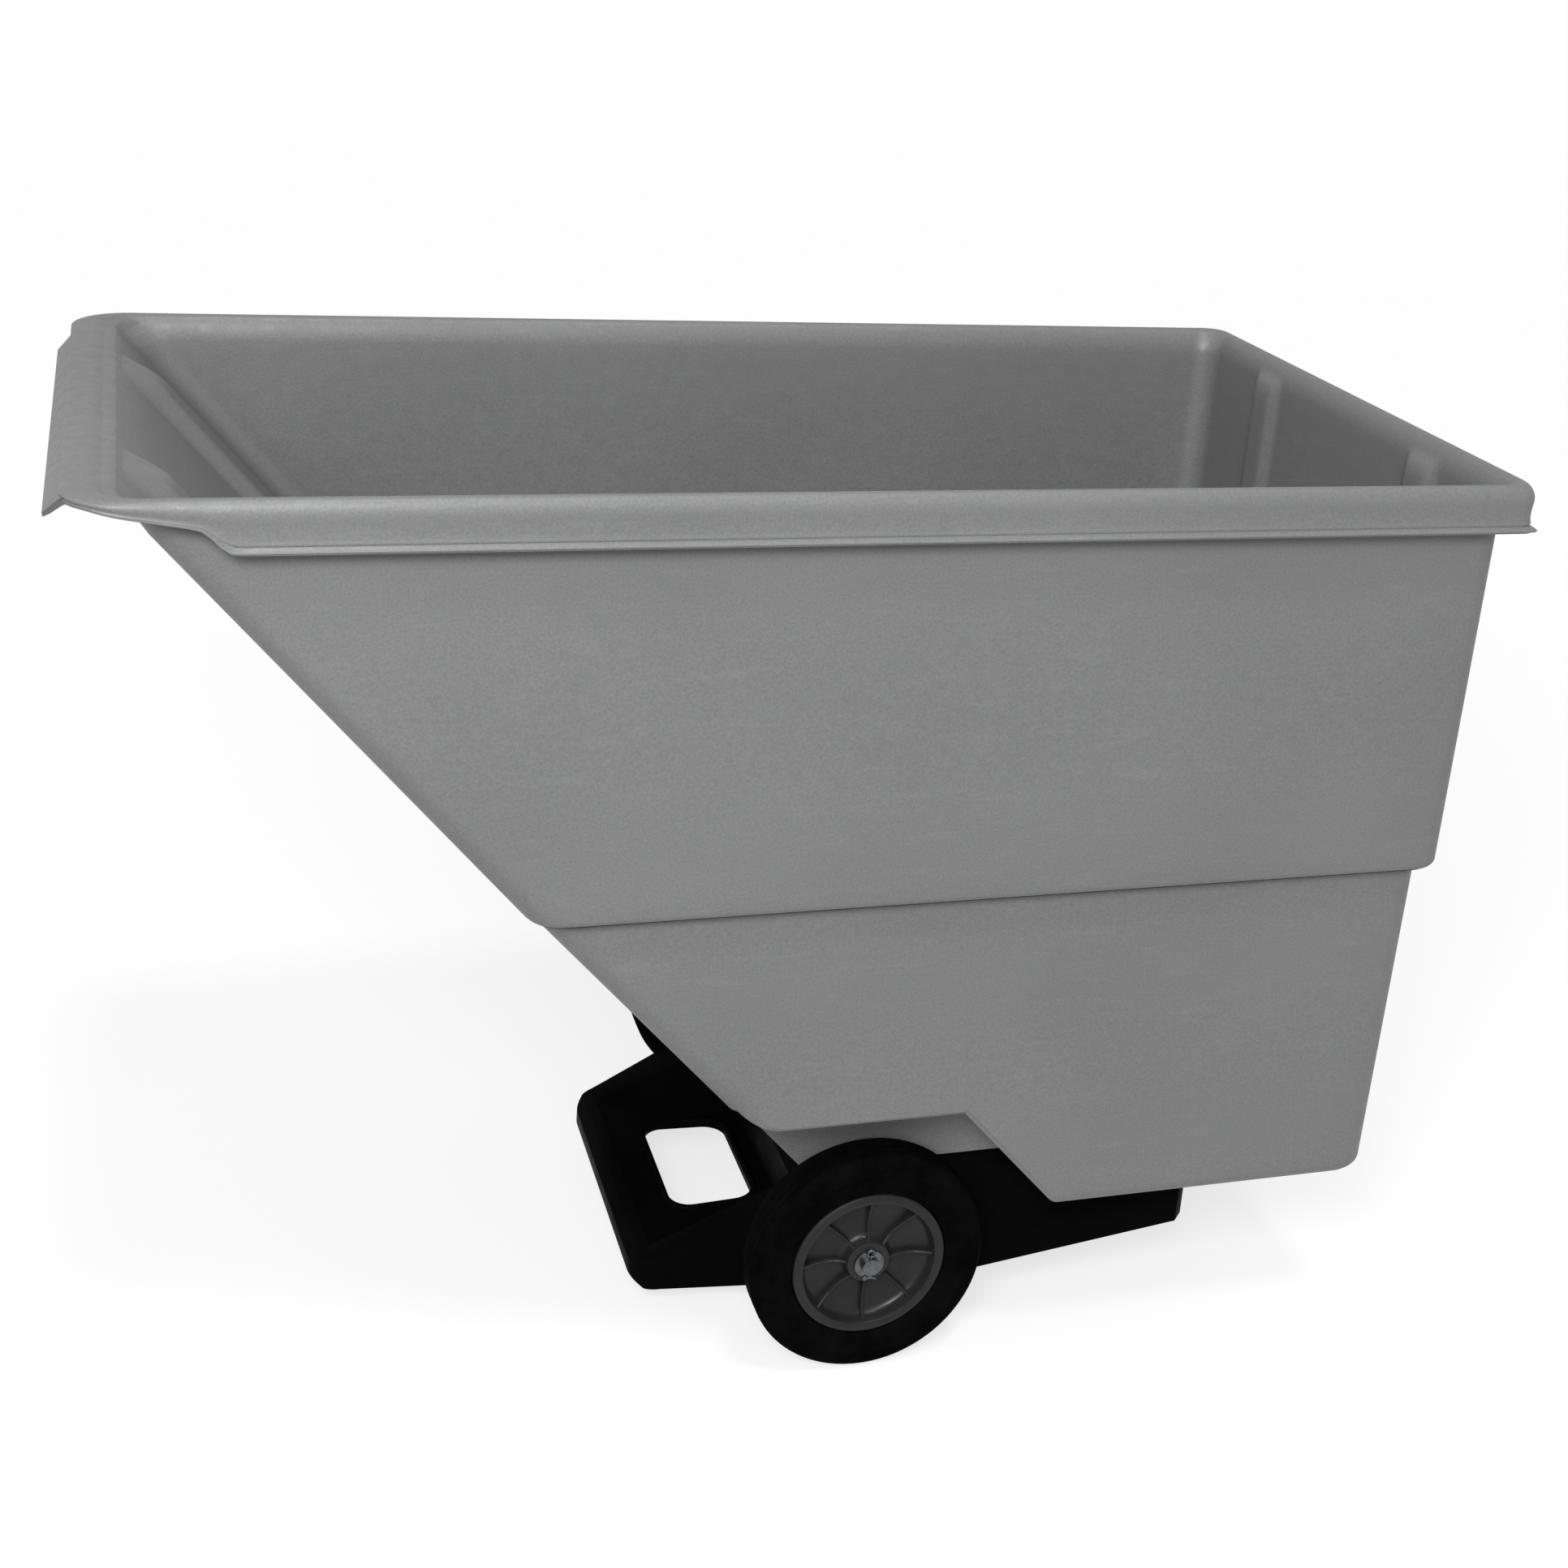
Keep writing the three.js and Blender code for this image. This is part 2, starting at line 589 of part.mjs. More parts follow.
function caster([x, y], name) {
  place(`${name}_plate`, casterPlate(x, y), 'zinc');
  place(`${name}_kingpin`, casterKingpin(x, y), 'zinc');
  place(`${name}_fork`, casterFork(x, y), 'zinc');
  place(`${name}_wheel`, casterWheel(x, y), 'rubber');
  place(`${name}_axle_bolt`, casterAxle(x, y), 'zinc');
  place(`${name}_axle_nut`, casterNut(x, y), 'zinc');
  plateBolts(x, y).forEach((spot, i) => place(`${name}_screw_${i + 1}`, plateBolt(spot), 'zinc'));
}

// ---- the cart ----
// The hopper and the base are one moulding each. They are divided along straight seams, so that
// each section is simple enough for collision to follow the hollow it bounds.
const REACH = 2000;
const HOPPER_SEAM = { wall: 328, lowerWall: 300, ledge: 565, well: 312, wellSide: 250, floor: 216 };
const BASE_SEAM = { nose: -44, web: 153.5 };

function hopperSections() {
  const { wall, lowerWall, ledge, well, wellSide, floor } = HOPPER_SEAM;
  const all = [-REACH, REACH];
  return {
    near_upper: [all, [-REACH, -wall], [ledge, REACH]],
    far_upper: [all, [wall, REACH], [ledge, REACH]],
    front_upper: [[-REACH, 0], [-wall, wall], [ledge, REACH]],
    back_upper: [[0, REACH], [-wall, wall], [ledge, REACH]],
    near_lower: [all, [-REACH, -lowerWall], [-REACH, ledge]],
    far_lower: [all, [lowerWall, REACH], [-REACH, ledge]],
    front_lower: [[-REACH, 0], [-lowerWall, lowerWall], [well, ledge]],
    back_lower: [[floor, REACH], [-lowerWall, lowerWall], [-REACH, ledge]],
    near_well: [[-REACH, floor], [-lowerWall, -wellSide], [-REACH, well]],
    far_well: [[-REACH, floor], [wellSide, lowerWall], [-REACH, well]],
    middle: [[-REACH, floor], [-wellSide, wellSide], [-REACH, well]],
  };
}

function baseSections() {
  const { nose, web } = BASE_SEAM;
  const all = [-REACH, REACH];
  return {
    nose: [[-REACH, nose], all, all],
    near_bay: [[nose, REACH], [-REACH, -web], all],
    far_bay: [[nose, REACH], [web, REACH], all],
    middle: [[nose, REACH], [-web, web], all],
  };
}

function placeSections(name, solid, look, sections) {
  for (const [section, ranges] of Object.entries(sections)) {
    const limits = ranges.flatMap(([low, high]) => [low + GAP / 2, high - GAP / 2]);
    place(`${name}_${section}`, solid.intersect(box(...limits)), look);
  }
}

placeSections('hopper', hopper(), 'hopper', hopperSections());
placeSections('base', base(), 'base', baseSections());
boltSpots().forEach((spot, i) => {
  place(`hopper_bolt_${i + 1}`, hopperBolt(spot), 'zinc');
  place(`hopper_nut_${i + 1}`, hopperNut(spot), 'zinc');
});
place('axle', axle(), 'zinc');
mainWheel(-1, 'near_wheel');
mainWheel(1, 'far_wheel');
caster(casterSpots()[0], 'near_caster');
caster(casterSpots()[1], 'far_caster');

export default cart;
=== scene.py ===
# Tilt truck: a moulded grey hopper on a black base, with two large wheels and two casters.
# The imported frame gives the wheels' place, the height and the bodies. The other sizes repeat the CAD's.
import json
import math

import bmesh
import bpy
from mathutils import Matrix, Vector


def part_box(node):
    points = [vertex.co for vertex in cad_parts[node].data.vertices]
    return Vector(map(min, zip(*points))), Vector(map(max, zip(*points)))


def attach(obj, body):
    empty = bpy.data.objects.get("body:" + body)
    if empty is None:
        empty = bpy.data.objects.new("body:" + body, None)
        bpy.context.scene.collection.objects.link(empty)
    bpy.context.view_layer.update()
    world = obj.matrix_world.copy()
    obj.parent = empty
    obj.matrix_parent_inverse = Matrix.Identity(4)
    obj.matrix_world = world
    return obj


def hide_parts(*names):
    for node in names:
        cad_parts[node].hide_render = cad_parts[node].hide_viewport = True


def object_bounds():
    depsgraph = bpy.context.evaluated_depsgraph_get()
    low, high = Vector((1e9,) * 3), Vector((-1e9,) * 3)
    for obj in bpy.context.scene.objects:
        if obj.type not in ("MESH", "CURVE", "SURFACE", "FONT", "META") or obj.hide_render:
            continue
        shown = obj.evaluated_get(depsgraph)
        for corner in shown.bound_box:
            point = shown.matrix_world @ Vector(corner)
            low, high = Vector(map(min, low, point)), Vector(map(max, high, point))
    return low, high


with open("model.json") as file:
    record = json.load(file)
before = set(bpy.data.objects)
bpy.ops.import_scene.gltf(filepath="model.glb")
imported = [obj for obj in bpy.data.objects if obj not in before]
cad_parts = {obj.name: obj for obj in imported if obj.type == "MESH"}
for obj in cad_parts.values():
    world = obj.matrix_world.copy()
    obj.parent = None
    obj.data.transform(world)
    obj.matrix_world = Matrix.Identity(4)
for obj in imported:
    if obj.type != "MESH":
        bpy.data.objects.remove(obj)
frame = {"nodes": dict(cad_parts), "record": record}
cad_low, cad_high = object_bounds()

# ---- sizes in millimetres; x is measured from the axle ----
MM = 0.001
wheel_low, wheel_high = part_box("near_wheel_tyre")
AXLE_X = (wheel_low.x + wheel_high.x) / 2 / MM
WHEEL_R = wheel_high.z / 2 / MM
TRACK_HALF = -(wheel_low.y + wheel_high.y) / 2 / MM

# hopper: rim and skirt
RIM_FRONT, RIM_REAR, RIM_HALF = -782.0, 621.0, 364.0
FLANGE_FRONT = -790.0
FLANGE_TOP = 976.0
FLANGE_ENDS = ((-328, 1.1), (276, 0.2))     # y of each end, and how it slants
HEIGHT = cad_high.z / MM
SKIRT = 48.0
FRONT_SKIRT = (10.0, 25.0)                  # its depth at the front corner and at the turn
SKIRT_TURN = (-760.0, -673.0, -637.0)       # x of the front corner, the turn and the full depth
ROLL = 16.0
CROWN_Z = 968.0                             # where the slope's line meets the rim
CREST = 0.46                                # the crest's place between the body's face and the lip
FLARE = 42.0                                # how far below the rim the walls begin

# hopper: body
WALL = 5.0
BODY_REAR, BODY_HALF = 599.0, 343.0
CORNER = 32.0
FRONT_ROUND = 16.0
STEP_Z, STEP_IN = 553.0, 15.0
STEP_ROUND = 9.0
FOOT_ROUND = 18.0
FLOOR_Z, RAISED_Z = 173.0, 214.0
UPPER_SLOPE = (-713, 0.864, 948)            # x, run per rise and z of a point on the front panel
LOWER_SLOPE = (-168, 0.9, 330)
SLOPE_STRETCH = 1.36                        # the wall's thickness along x on the slope
RIB_SIDE = 182.0

# wheel wells
WELL_TOP, WELL_HALF = 302.0, 258.0
WELL_BACK = (87.0, 206.0)                   # x of the sloping back at its top and foot
WELL_FRONT = -330
REBATE, REBATE_FACE = 3.2, 319.6
OUTSIDE = 420                               # past the side of everything
BELOW = 60                                  # under the hopper's floor

# base
GAP = 0.3
BASE_HALF, BASE_REAR = 250.0, 398.0
NOSE_FRONT, NOSE_HALF, NOSE_TOP = -219.0, 178.0, 62.0
BREAST_X = -40.0
BASE_WALL = 7.0
WINDOW = (-154.0, -58.0, 86.0)
WEB_Y = 150
HUB_R = 80.0
BOLT_SPOTS = ((40, 190), (270, 190), (372, 190))
BOLT_HOLE_R = 5.4

# how finely the hopper's outlines are stepped
EDGE_STEPS = 96
CORNER_STEPS = 9
SIDE = [0.0065 * i for i in range(20)] + [0.13 + 0.87 * i / 16 for i in range(16)]
FRONT_EDGE = EDGE_STEPS + 2 * CORNER_STEPS + len(SIDE)


def lerp(a, b, s):
    return a + (b - a) * s


def smooth(value, low, high):
    """0 up to low, 1 from high on, and an even curve between."""
    s = min(1.0, max(0.0, (value - low) / (high - low)))
    return s * s * (3 - 2 * s)


def direction(azimuth, elevation):
    """The unit vector from the object towards a view's or a lamp's angle in degrees."""
    a, p = math.radians(azimuth), math.radians(elevation)
    return Vector((math.sin(a) * math.cos(p), -math.cos(a) * math.cos(p), math.sin(p)))


# ---- meshes ----
def add_to_scene(name, data):
    obj = bpy.data.objects.new(name, data)
    bpy.context.scene.collection.objects.link(obj)
    return obj


def mesh_from(name, bm):
    mesh = bpy.data.meshes.new(name)
    bm.to_mesh(mesh)
    bm.free()
    return mesh


def new_object(name, bm):
    """An object from a bmesh drawn in millimetres in the axle's frame."""
    bm.transform(Matrix.Translation((AXLE_X * MM, 0, 0)) @ Matrix.Scale(MM, 4))
    bmesh.ops.recalc_face_normals(bm, faces=bm.faces)
    return add_to_scene(name, mesh_from(name, bm))


def skin(rings, closed=False):
    """A solid over a stack of outlines with equal point counts; closed joins the last to the first."""
    bm = bmesh.new()
    rows = [[bm.verts.new(p) for p in ring] for ring in rings]
    n = len(rings[0])
    for i in range(len(rows) if closed else len(rows) - 1):
        low, high = rows[i], rows[(i + 1) % len(rows)]
        for j in range(n):
            k = (j + 1) % n
            bm.faces.new((low[j], low[k], high[k], high[j]))
    if not closed:
        bm.faces.new(list(reversed(rows[0])))
        bm.faces.new(rows[-1])
    return bm


def prism_y(points, y0, y1):
    return skin([[(x, y, z) for x, z in points] for y in (y0, y1)])


def prism_z(points, z0, z1):
    return skin([[(x, y, z) for x, y in points] for z in (z0, z1)])


def turn(sides):
    return [2 * math.pi * i / sides for i in range(sides)]


def lathe(points, y, z, sides=96):
    """A turned piece about the y axis from (radius, y offset) points that go all the way round."""
    rings = [[(r * math.cos(a), y + h, z + r * math.sin(a)) for r, h in points] for a in turn(sides)]
    return skin(rings, closed=True)


def rod(axis, radius, length, x, y, z, sides=32):
    """A rod along y or z, centred on (x, y, z)."""
    rings = []
    for end in (-length / 2, length / 2):
        if axis == "z":
            rings.append([(x + radius * math.cos(a), y + radius * math.sin(a), z + end) for a in turn(sides)])
        else:
            rings.append([(x + radius * math.cos(a), y + end, z + radius * math.sin(a)) for a in turn(sides)])
    return skin(rings)


def bar(x0, x1, y0, y1, z0, z1):
    return prism_z([(x0, y0), (x1, y0), (x1, y1), (x0, y1)], z0, z1)


def settle(obj):
    """Applies an object's modifiers to its mesh."""
    graph = bpy.context.evaluated_depsgraph_get()
    mesh = bpy.data.meshes.new_from_object(obj.evaluated_get(graph))
    obj.modifiers.clear()
    obj.data = mesh


def combine(obj, tool, operation):
    """Joins a tool to an object, cuts it away or keeps the shared part, and removes the tool."""
    modifier = obj.modifiers.new("combine", "BOOLEAN")
    modifier.operation = operation
    modifier.solver = "MANIFOLD"
    modifier.object = tool
    settle(obj)
    bpy.data.objects.remove(tool)


def join(obj, solids):
    for bm in solids:
        combine(obj, new_object("tool", bm), "UNION")


def carve(obj, solids):
    for bm in solids:
        combine(obj, new_object("tool", bm), "DIFFERENCE")


def round_edges(obj, width, segments, angle):
    """Bevels the edges sharper than an angle in degrees."""
    modifier = obj.modifiers.new("round", "BEVEL")
    modifier.width = width * MM
    modifier.segments = segments
    modifier.limit_method = "ANGLE"
    modifier.angle_limit = math.radians(angle)
    settle(obj)


def arc(cx, cy, radius, start, end, steps, last=False):
    """Points on an arc between two angles in degrees, with or without the last."""
    count = steps + 1 if last else steps
    angles = [math.radians(start + (end - start) * i / steps) for i in range(count)]
    return [(cx + radius * math.cos(a), cy + radius * math.sin(a)) for a in angles]


def round_rect(x0, x1, half, radius, steps):
    return (
        arc(x1 - radius, half - radius, radius, 0, 90, steps, True)
        + arc(x0 + radius, half - radius, radius, 90, 180, steps, True)
        + arc(x0 + radius, radius - half, radius, 180, 270, steps, True)
        + arc(x1 - radius, radius - half, radius, 270, 360, steps, True)
    )


# ---- hopper ----
def slope_at(line, z):
    x, run, level = line
    return x - run * (z - level)


def slope(z):
    """Where the front panel's outer face is at height z."""
    return slope_at(UPPER_SLOPE if z > STEP_Z else LOWER_SLOPE, z)


def draw_in(z):
    """How far the walls have drawn in at height z, by their draft and the ledge."""
    return (925 - z) * 0.008 if z > STEP_Z else STEP_IN + 3 + (STEP_Z - z) * 0.012


def outline(front, rear, half, radius, front_radius):
    """The hopper's outline from above, anticlockwise, always with the same steps."""
    back, fore = half - radius, half - front_radius
    x1, x0 = rear - radius, front + front_radius
    steps = range(EDGE_STEPS)
    points = [(rear, lerp(-back, back, i / EDGE_STEPS)) for i in steps]
    points += arc(x1, back, radius, 0, 90, CORNER_STEPS)
    points += [(lerp(x1, x0, 1 - s), half) for s in [1.0] + list(reversed(SIDE[1:]))]
    points += arc(x0, fore, front_radius, 90, 180, CORNER_STEPS)
    points += [(front, lerp(fore, -fore, i / EDGE_STEPS)) for i in steps]
    points += arc(x0, -fore, front_radius, 180, 270, CORNER_STEPS)
    points += [(lerp(x1, x0, 1 - s), -half) for s in SIDE]
    points += arc(x1, -back, radius, 270, 360, CORNER_STEPS)
    return points


def body_row(z, inset, foot=0.0, height=None, front_foot=None):
    """The hopper's outline at height z, moved in by the wall and rounded at a foot."""
    d = draw_in(z) + inset + foot
    front = slope(z) + inset * SLOPE_STRETCH + (foot if front_foot is None else front_foot)
    radius = CORNER - inset - foot * 0.4
    ring = outline(front, BODY_REAR - d - foot * 0.6, BODY_HALF - d, radius, radius)
    return [(x, y, z if height is None else height) for x, y in ring]


def rim_outline(t, front=None):
    """The rim's outline, from 0 at the body's face to 1 at the lip; below 0 it is inside the hopper."""
    crown = slope(CROWN_Z)
    if front is None:
        front = crown + (RIM_FRONT - crown) * t
    rear = lerp(BODY_REAR, RIM_REAR, t)
    half = lerp(BODY_HALF, RIM_HALF, t)
    radius = CORNER - 5 - 7 * t - 10 * smooth(t, 0.9, 1)
    front_radius = CORNER + 6 * t + FRONT_ROUND * max(t, 0)
    return outline(front, rear, half, radius, front_radius)


def skirt_depth(x):
    """The skirt is shallow round the front and turns down to its full depth along the sides."""
    corner, turn, end = SKIRT_TURN
    if x < turn:
        return lerp(*FRONT_SKIRT, (max(x, corner) - corner) / (turn - corner))
    return lerp(FRONT_SKIRT[1], SKIRT, smooth(x, turn, end))


LIP_DEPTHS = [skirt_depth(x) for x, _ in rim_outline(1.0)]


def rim_row(t, drop):
    """A line along the rim, a nominal drop below its crest; it rises where the skirt is shallow."""
    ring = rim_outline(t)
    flat = rim_outline(min(t, 0.89))
    row = []
    for (x, y), (fx, fy), depth in zip(ring, flat, LIP_DEPTHS):
        roll = min(1.0, depth / 30) * ROLL
        below = max(0.0, drop - ROLL) / (SKIRT - ROLL)
        fall = min(drop / ROLL, 1.0) * roll + below * (depth - roll)
        full = smooth(depth, FRONT_SKIRT[1], SKIRT)
        row.append((lerp(fx, x, full), lerp(fy, y, full), HEIGHT - fall))
    return row


def wall_rows(low, high, count, inset=0.0):
    return [body_row(lerp(low, high, i / count), inset) for i in range(count + 1)]


def foot_rows(inset):
    """The rounded edge between the hopper's floor and its walls."""
    rows = []
    for i in range(7):
        a = math.radians(15 * i)
        z = FLOOR_Z + inset + FOOT_ROUND * (1 - math.cos(a))
        rows.append(body_row(z, inset, FOOT_ROUND * (1 - math.sin(a))))
    return rows


def ledge_rows(inset, notch=0.0):
    """The ledge half way up, with a rounded edge and a thin notch along it."""
    lift = inset * 0.9
    rows = []
    for angle, deep in ((0, 0), (18, 0), (30, 0), (32, notch), (50, notch), (52, 0), (70, 0), (90, 0)):
        a = math.radians(angle)
        rise = STEP_ROUND * (1 - math.cos(a))
        foot = STEP_ROUND * (1 - math.sin(a)) + deep
        rows.append(body_row(STEP_Z + rise + 0.01, inset, foot, STEP_Z + lift + rise, foot / 3))
    return rows


def underside_rows():
    """Under the rolled rim and down the inside of its skirt."""
    path = [(0.0, 24), (0.04, 17), (0.12, 12), (0.25, 9), (0.4, 8), (0.55, 9), (0.66, 12), (0.72, 18)]
    path += [(0.73, 27), (0.74, 36), (0.79, 41.5), (0.87, 45.5), (0.93, 47.5)]
    return [rim_row(t, drop) for t, drop in path]


def lip_rows():
    """The lip, the small bead above it and the hollow of the skirt, from the bottom up."""
    path = [(0.935, 48), (0.935, 46.6), (1.0, 46.4), (1.0, 45.4), (0.965, 44.6), (0.92, 43.6), (0.89, 42.4)]
    path += [(0.872, 41), (0.9, 40), (0.9, 38.8), (0.884, 37.6), (0.868, 35), (0.862, 31), (0.868, 26)]
    path += [(0.884, 20.5)]
    return [rim_row(t, drop) for t, drop in path]


def roll_rows():
    """Over the rolled top, from the outside to the crest."""
    rows = []
    for i in range(10):
        a = math.radians(10 * i)
        rows.append(rim_row(CREST + 0.44 * math.cos(a), ROLL * (1 - math.sin(a))))
    return rows


def front_share(i):
    """1 along the front edge of an outline, 0 along its sides, in between round the front corners."""
    past = i - FRONT_EDGE
    if past < 0:
        return smooth(past, -CORNER_STEPS, 0)
    return 1 - smooth(past, EDGE_STEPS, EDGE_STEPS + CORNER_STEPS)


def flare_rows():
    """From the crest down into the hopper; at the front the curve runs on into the slope."""
    rows = []
    deep, wide = 32.0, CREST + WALL / (RIM_REAR - BODY_REAR)
    crown = slope(CROWN_Z)
    crest = crown + (RIM_FRONT - crown) * CREST
    low = HEIGHT - FLARE
    foot = slope(low) + WALL * SLOPE_STRETCH
    bend = foot - (HEIGHT - low) * UPPER_SLOPE[1]
    for i in range(1, 13):
        s = i / 13
        a = math.radians(90 - 90 * s)
        side_z = HEIGHT - deep * (1 - math.sin(a))
        pulls = ((1 - s) ** 2, 2 * s * (1 - s), s * s)
        front = pulls[0] * crest + pulls[1] * bend + pulls[2] * foot
        front_z = (pulls[0] + pulls[1]) * HEIGHT + pulls[2] * low
        ring = rim_outline(CREST - wide * math.cos(a), front)
        rows.append([(x, y, lerp(side_z, front_z, front_share(j))) for j, (x, y) in enumerate(ring)])
    return rows


def rib_height(s, half, flat):
    """A rib's section: 1 over its flat top, 0 past its half width."""
    return 1 - smooth(abs(s), flat, half)


def add_ribs(row):
    """Two broad ribs up the sloping front and two narrower ones up the back wall."""
    out = []
    for i, (x, y, z) in enumerate(row):
        s = abs(y) - RIB_SIDE
        if i < EDGE_STEPS:
            ends = smooth(z, FLOOR_Z + 20, FLOOR_Z + 60) * (1 - smooth(z, 946, 968))
            x -= 9 * rib_height(s + 5, 31, 19) * ends
        elif 0 <= i - FRONT_EDGE < EDGE_STEPS:
            ends = smooth(z, 330, 372) * (1 - smooth(z, 944, 974))
            x += 14 * SLOPE_STRETCH * rib_height(s, 50, 24) * ends
        out.append((x, y, z))
    return out


def hopper_skin():
    outside = foot_rows(0) + wall_rows(FLOOR_Z + 30, STEP_Z - 1.5, 10) + ledge_rows(0, 2.2)
    outside += wall_rows(STEP_Z + 24, HEIGHT - FLARE, 9)
    inside = wall_rows(STEP_Z + 16 + WALL, HEIGHT - FLARE - 1, 26, WALL)[::-1] + ledge_rows(WALL)[::-1]
    inside += wall_rows(FLOOR_Z + 36, STEP_Z - 1.5, 18, WALL)[::-1] + foot_rows(WALL)[::-1]
    inside = [add_ribs(row) for row in flare_rows() + inside]
    return skin(outside + underside_rows() + lip_rows() + roll_rows() + inside)


def raised_back():
    """Where the sloping back of the wells meets the raised floor."""
    top, foot = WELL_BACK
    return top + (WELL_TOP - RAISED_Z) * (foot - top) / (WELL_TOP - FLOOR_Z)


def well_side(d):
    """A wheel well from the side, grown by d."""
    top, foot = WELL_BACK
    knee = [(x + d * 0.7, z + d) for x, z in arc(-103, WELL_TOP + 70, 70, 222, 268, 8, True)]
    edge = arc(foot + 19.6 + d, FLOOR_Z + 45 + d, 45, 223, 268, 8, True)
    front = [(WELL_FRONT, BELOW), (WELL_FRONT, 250)]
    return front + knee + [(top + d, WELL_TOP + d)] + edge + [(foot + 21 + d, BELOW)]


def well_edges():
    """A shallow rebate in the outer walls along the edge of each wheel well."""
    side = well_side(REBATE)
    return [prism_y(side, REBATE_FACE, OUTSIDE), prism_y(side, -OUTSIDE, -REBATE_FACE)]


def well_solids(d):
    """What is taken out of the foot for the wheels and the axle, grown by d inside the hopper."""
    side = well_side(d)
    foot = WELL_BACK[1] + d + 1
    middle = [(WELL_FRONT, BELOW), (WELL_FRONT, RAISED_Z + d), (raised_back() + d, RAISED_Z + d)]
    middle += [(foot, FLOOR_Z + d), (foot, BELOW)]
    inner = WELL_HALF - d
    sides = [prism_y(side, inner, OUTSIDE), prism_y(side, -OUTSIDE, -inner)]
    return sides + [prism_y(middle, -inner - 1, inner + 1)]


def bolt_holes():
    """Holes for the six bolts that hold the hopper on the base."""
    holes = []
    for x, y in BOLT_SPOTS:
        z = RAISED_Z if x < WELL_BACK[0] else FLOOR_Z
        holes += [rod("z", BOLT_HOLE_R, 60, x, side * y, z) for side in (1, -1)]
    return holes


def front_flange():
    """The lip that hangs from the front rim, with slanted ends."""
    section = [(-770, FLANGE_TOP), (-776, 974.5), (FLANGE_FRONT, 957), (FLANGE_FRONT + 0.6, 951.5)]
    section += [(-784, 955), (-773, 966), (-764, 971)]
    return skin([[(x, end + slant * (FLANGE_TOP - z), z) for x, z in section] for end, slant in FLANGE_ENDS])


def make_hopper():
    """The hopper's skin, with the wells cut out and lined by a wall of their own."""
    hopper = new_object("hopper_shell", hopper_skin())
    carve(hopper, well_solids(0))
    lining_rows = [body_row(z, 2.5, f) for z, f in ((FLOOR_Z + 2.5, 12), (FLOOR_Z + 20, 0), (345, 0))]
    lining = new_object("lining", skin(lining_rows))
    grown = new_object("grown", well_solids(WALL)[0])
    join(grown, well_solids(WALL)[1:])
    combine(lining, grown, "INTERSECT")
    carve(lining, well_solids(0))
    combine(hopper, lining, "UNION")
    join(hopper, [front_flange()])
    carve(hopper, well_edges())
    carve(hopper, bolt_holes())
    return hopper


# ---- base ----
def base_foot(x):
    """The height of the base's underside, which rises towards the rear."""
    return 90 - (BASE_REAR - x) * 0.1256


def base_plan(d):
    """The base from above, shrunk by d."""
    half = arc(NOSE_FRONT + 30, NOSE_HALF - 30, 30 - d, 180, 90, 8, True)
    half += [(-98, 192 - d), (-40, 206 - d), (30 - d * 0.4, BASE_HALF - d), (BASE_REAR - 12, BASE_HALF - d)]
    half += [(BASE_REAR - d, BASE_HALF - max(12, d))]
    return half + [(x, -y) for x, y in reversed(half)]


def base_side(d):
    """The base from the side, shrunk by d; a shrunk one, for hollowing, is open below."""
    foot, back = WELL_BACK[1], raised_back()
    low = -40 if d else 0
    under = GAP + d
    return [
        (NOSE_FRONT + d, 0 if d else 34),
        (NOSE_FRONT + 14 + d, low + 25),
        (-98, low + base_foot(-98)),
        (BASE_REAR - d, low + base_foot(BASE_REAR)),
        (BASE_REAR - d, FLOOR_Z - under),
        (foot - d * 0.4, FLOOR_Z - under),
        (back - d * 0.4, RAISED_Z - under),
        (8 + d, RAISED_Z - under),
        (BREAST_X + d, 131 - d),
        (-196 + d * 0.5, NOSE_TOP + 1 - d),
        (NOSE_FRONT + 10, NOSE_TOP - 2 - d),
        (NOSE_FRONT + d, max(NOSE_TOP - 12 - d, 36)),
    ]


def nose_dish(d):
    """What is taken out above the nose, grown by d."""
    floor = NOSE_TOP - d
    side = [(-198 - d, 240), (-196 - d, floor), (BREAST_X + d, floor), (BREAST_X + d, 240)]
    return prism_y(side, -150 - d, 150 + d)


def window_outline(grow):
    """The window in the nose, grown, and a little narrower towards the rear."""
    front, back, half = WINDOW
    edge = round_rect(front - grow, back + grow, half + grow, 24 + grow, 9)
    return [(x, y * (1 - 0.0007 * (x - front))) for x, y in edge]


def window_bead():
    """A half-round bead round the window."""
    section = [(0, NOSE_TOP - 5), (8, NOSE_TOP - 5)]
    for angle in range(0, 181, 22):
        a = math.radians(angle)
        section.append((4 + 4 * math.cos(a), NOSE_TOP - 0.5 + 4.3 * math.sin(a)))
    rings = [[(x, y, z) for x, y in window_outline(grow)] for grow, z in section]
    return skin(rings, closed=True)


def base_block(name, d):
    """The base as a solid, shrunk by d."""
    block = new_object(name, prism_z(base_plan(d), -60 if d else 0, 260))
    combine(block, new_object("tool", prism_y(base_side(d), -260, 260)), "INTERSECT")
    carve(block, [nose_dish(d)])
    return block


def base_web(y):
    """An upright web under the deck."""
    rear = BASE_REAR - 3
    front = BREAST_X + 3
    side = [(front, 40), (rear, base_foot(BASE_REAR) + 6), (rear, FLOOR_Z - 4), (200, FLOOR_Z - 4)]
    side += [(166, RAISED_Z - 4), (14, RAISED_Z - 4), (front, 122)]
    return prism_y(side, y - 3, y + 3)


